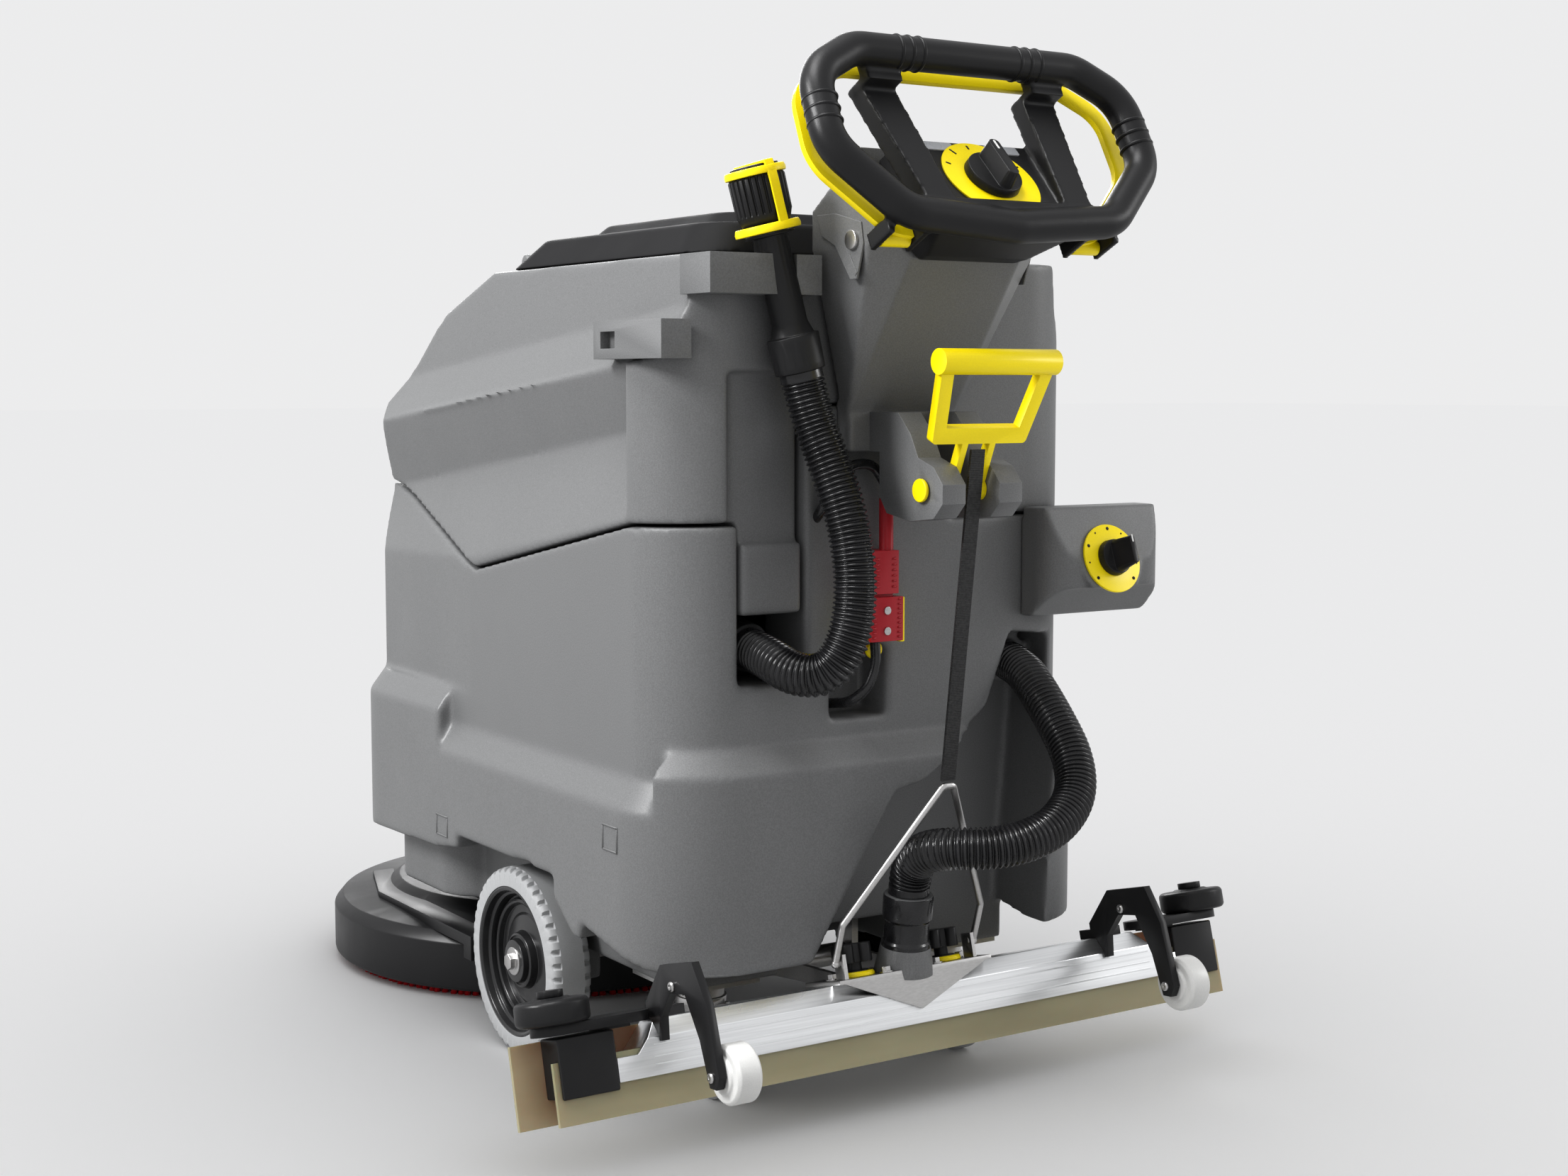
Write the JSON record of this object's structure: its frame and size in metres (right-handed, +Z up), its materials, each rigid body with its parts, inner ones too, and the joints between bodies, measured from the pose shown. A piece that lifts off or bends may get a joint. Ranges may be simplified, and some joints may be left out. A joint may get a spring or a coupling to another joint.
{
  "type": "walk-behind scrubber dryer",
  "caption": "Walk-behind floor scrubber dryer with a round brush deck, a liftable squeegee with its suction hose, two water tanks and a loop handle.",
  "frame": {"origin": "on the floor, below the middle of the bounding box", "axes": "+Y driving direction, +X the machine's right-hand side, +Z up"},
  "size_m": [0.85, 1.2052, 1.0232],
  "materials": {
    "shell": "matte, fine rotomoulded grain",
    "black_plastic": "satin moulded plastic",
    "yellow": "semi-gloss moulded plastic",
    "red": "semi-gloss moulded plastic",
    "hose": "glossy corrugated hose",
    "tyre": "light grey non-marking tread",
    "white_plastic": "satin",
    "aluminium": "brushed extrusion",
    "steel": "zinc plated",
    "blade": "translucent tan polyurethane",
    "bristle": "nylon bristles",
    "battery": "moulded case",
    "display": "clear window",
    "webbing": "woven strap"
  },
  "bodies": {
    "chassis": {"lower_housing": "shell", "batteries": "battery", "suction_turbine": "black_plastic", "control_board": "battery", "axle": "steel", "fasteners": "steel", "handle_neck": "shell", "lever_bracket": "shell", "lever_pins": "yellow", "dosing_housing": "shell", "dosing_ring": "yellow", "battery_connector": "red", "connector_guards": "yellow", "battery_lead": "hose", "suction_hose": "hose", "squeegee_pivot": "steel", "caster_mounts": "steel", "handle_loop": "black_plastic", "dial_plate": "yellow", "display_windows": "display"},
    "control_knob": {"control_knob": "black_plastic"},
    "drive_bail": {"drive_bail": "yellow"},
    "dosing_knob": {"dosing_knob": "black_plastic"},
    "lift_lever": {"lift_lever": "yellow"},
    "lift_strap": {"lift_strap": "webbing"},
    "recovery_tank": {"recovery_tank": "shell", "tank_clips": "shell", "drain_hose": "hose", "drain_fittings": "black_plastic", "float_filter": "black_plastic"},
    "tank_lid": {"tank_lid": "black_plastic", "lid_gasket": "hose"},
    "drain_cap": {"drain_cap": "black_plastic", "cap_strap": "yellow"},
    "brush_deck": {"brush_deck": "black_plastic", "brush_motor": "black_plastic", "deck_arms": "black_plastic"},
    "brush": {"brush_disc": "black_plastic", "brush_bristles": "bristle"},
    "left_wheel": {"left_tyre": "tyre", "left_rim": "black_plastic"},
    "right_wheel": {"right_tyre": "tyre", "right_rim": "black_plastic"},
    "left_caster": {"left_caster_fork": "steel"},
    "right_caster": {"right_caster_fork": "steel"},
    "left_caster_wheel": {"left_caster_wheel": "tyre"},
    "right_caster_wheel": {"right_caster_wheel": "tyre"},
    "squeegee": {"squeegee_bar": "aluminium", "squeegee_blades": "blade", "end_caps": "black_plastic", "yoke_plate": "steel", "star_knobs": "black_plastic", "suction_spigot": "shell", "squeegee_arm": "steel", "squeegee_brackets": "black_plastic"},
    "left_roller": {"left_roller": "white_plastic"},
    "right_roller": {"right_roller": "white_plastic"},
    "left_deflector": {"left_deflector": "black_plastic"},
    "right_deflector": {"right_deflector": "black_plastic"},
    "lift_bail": {"lift_bail": "steel"}
  },
  "joints": [
    {"name": "tank_lift", "type": "slide", "parent": "chassis", "child": "recovery_tank", "axis": [0, 0, 1], "range_m": [0, 0.12]},
    {"name": "lid_hinge", "type": "hinge", "parent": "recovery_tank", "child": "tank_lid", "pos_m": [0, 0.0675, 0.845], "axis": [-1, 0, 0], "range_deg": [0, 95]},
    {"name": "cap_pull", "type": "slide", "parent": "recovery_tank", "child": "drain_cap", "axis": [-0.2228, 0.0709, 0.9723], "range_m": [0, 0.05]},
    {"name": "deck_lift", "type": "slide", "parent": "chassis", "child": "brush_deck", "axis": [0, 0, 1], "range_m": [0, 0.03]},
    {"name": "brush_spin", "type": "hinge", "parent": "brush_deck", "child": "brush", "pos_m": [0, 0.3225, 0.05], "axis": [0, 0, 1], "continuous": true},
    {"name": "left_wheel_spin", "type": "hinge", "parent": "chassis", "child": "left_wheel", "pos_m": [-0.2355, -0.0715, 0.1], "axis": [1, 0, 0], "continuous": true},
    {"name": "left_caster_swivel", "type": "hinge", "parent": "chassis", "child": "left_caster", "pos_m": [-0.15, -0.2825, 0.09], "axis": [0, 0, 1], "continuous": true},
    {"name": "left_caster_roll", "type": "hinge", "parent": "left_caster", "child": "left_caster_wheel", "pos_m": [-0.15, -0.3105, 0.0375], "axis": [1, 0, 0], "continuous": true},
    {"name": "right_wheel_spin", "type": "hinge", "parent": "chassis", "child": "right_wheel", "pos_m": [0.2355, -0.0715, 0.1], "axis": [1, 0, 0], "continuous": true},
    {"name": "right_caster_swivel", "type": "hinge", "parent": "chassis", "child": "right_caster", "pos_m": [0.15, -0.2825, 0.09], "axis": [0, 0, 1], "continuous": true},
    {"name": "right_caster_roll", "type": "hinge", "parent": "right_caster", "child": "right_caster_wheel", "pos_m": [0.15, -0.3105, 0.0375], "axis": [1, 0, 0], "continuous": true},
    {"name": "squeegee_lift", "type": "hinge", "parent": "chassis", "child": "squeegee", "pos_m": [0, -0.2325, 0.1], "axis": [1, 0, 0], "range_deg": [0, 15], "deforming": ["suction_hose"]},
    {"name": "lever_tilt", "type": "hinge", "parent": "chassis", "child": "lift_lever", "pos_m": [0.008, -0.5025, 0.612], "axis": [1, 0, 0], "range_deg": [0, 65]},
    {"name": "strap_slide", "type": "slide", "parent": "chassis", "child": "lift_strap", "axis": [0, -0.3431, -0.9393], "range_m": [0, 0.0554]},
    {"name": "bail_pivot", "type": "hinge", "parent": "squeegee", "child": "lift_bail", "pos_m": [0, -0.42568, 0.15176], "axis": [1, 0, 0], "range_deg": [-15, 0]},
    {"name": "left_roller_spin", "type": "hinge", "parent": "squeegee", "child": "left_roller", "pos_m": [-0.2685, -0.54021, 0.10687], "axis": [1, 0, 0], "continuous": true},
    {"name": "right_roller_spin", "type": "hinge", "parent": "squeegee", "child": "right_roller", "pos_m": [0.2655, -0.54021, 0.10687], "axis": [1, 0, 0], "continuous": true},
    {"name": "left_deflector_spin", "type": "hinge", "parent": "squeegee", "child": "left_deflector", "pos_m": [-0.388, -0.42182, 0.15073], "axis": [0, 0.2588, 0.9659], "continuous": true},
    {"name": "right_deflector_spin", "type": "hinge", "parent": "squeegee", "child": "right_deflector", "pos_m": [0.388, -0.42182, 0.15073], "axis": [0, 0.2588, 0.9659], "continuous": true},
    {"name": "program_turn", "type": "hinge", "parent": "chassis", "child": "control_knob", "pos_m": [0, -0.54995, 0.8951], "axis": [0, -0.6947, 0.7193], "range_deg": [0, 150]},
    {"name": "dosing_turn", "type": "hinge", "parent": "chassis", "child": "dosing_knob", "pos_m": [0.238, -0.4445, 0.53], "axis": [0, -0.9404, 0.3401], "range_deg": [0, 180]},
    {"name": "drive_squeeze", "type": "hinge", "parent": "chassis", "child": "drive_bail", "pos_m": [0, -0.55117, 0.83784], "axis": [1, 0, 0], "range_deg": [0, 2.2], "stiffness_Nm_per_rad": 12, "springref_deg": -4.58}
  ],
  "couplings": [
    {"joint": "lever_tilt", "follows": "squeegee_lift", "ratio": 4.3332},
    {"joint": "strap_slide", "follows": "squeegee_lift", "m_per_rad": 0.2115},
    {"joint": "bail_pivot", "follows": "squeegee_lift", "ratio": -1}
  ]
}
